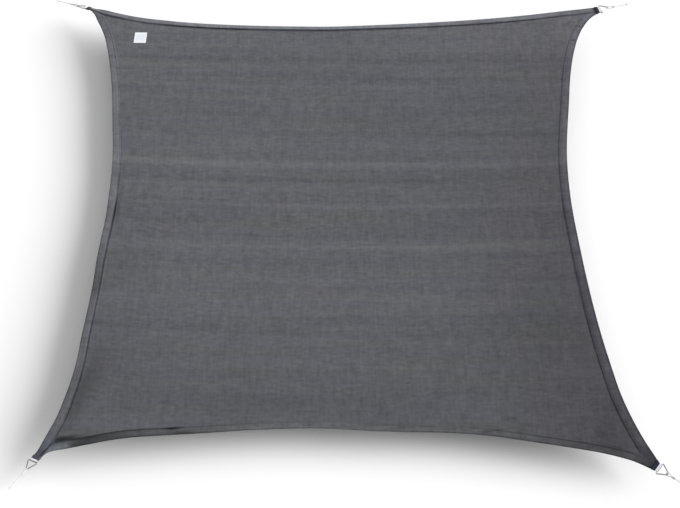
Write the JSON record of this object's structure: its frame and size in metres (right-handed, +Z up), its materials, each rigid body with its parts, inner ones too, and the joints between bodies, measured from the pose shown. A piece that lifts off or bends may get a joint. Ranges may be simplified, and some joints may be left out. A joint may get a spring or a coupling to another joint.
{
  "type": "square shade sail with corner rings and ropes",
  "caption": "Dark grey square shade sail of knitted cloth with hemmed curved edges, white corner straps, triangular steel rings and short ropes.",
  "frame": {"origin": "where a pull bears on the inside of the front left ring's nose, at the height of the middle of its wire", "axes": "+X along the sail's front edge to its right, +Y from the front edge to the back edge, +Z up, off the upper face of the level sail. Metres"},
  "size_m": [3.9045, 3.7357, 0.1306],
  "materials": {
    "shade_cloth": "matt warp-knitted polyethylene, dark grey",
    "label_cloth": "woven label, plain",
    "binding_cloth": "navy black binding",
    "webbing": "white polyester webbing",
    "ring_steel": "bright drawn wire",
    "rope_yarn": "twisted polyester cord",
    "seizing_yarn": "wound twine"
  },
  "bodies": {
    "root": {"sail": "shade_cloth", "label": "label_cloth", "binding_front_left": "binding_cloth", "strap_front_left": "webbing", "ring_front_left": "ring_steel", "rope_front_left": "rope_yarn", "seizing_front_left": "seizing_yarn", "knot_front_left": "rope_yarn", "binding_front_right": "binding_cloth", "strap_front_right": "webbing", "ring_front_right": "ring_steel", "rope_front_right": "rope_yarn", "seizing_front_right": "seizing_yarn", "knot_front_right": "rope_yarn", "binding_back_right": "binding_cloth", "strap_back_right": "webbing", "ring_back_right": "ring_steel", "rope_back_right": "rope_yarn", "seizing_back_right": "seizing_yarn", "knot_back_right": "rope_yarn", "binding_back_left": "binding_cloth", "strap_back_left": "webbing", "ring_back_left": "ring_steel", "rope_back_left": "rope_yarn", "seizing_back_left": "seizing_yarn", "knot_back_left": "rope_yarn"}
  },
  "joints": []
}
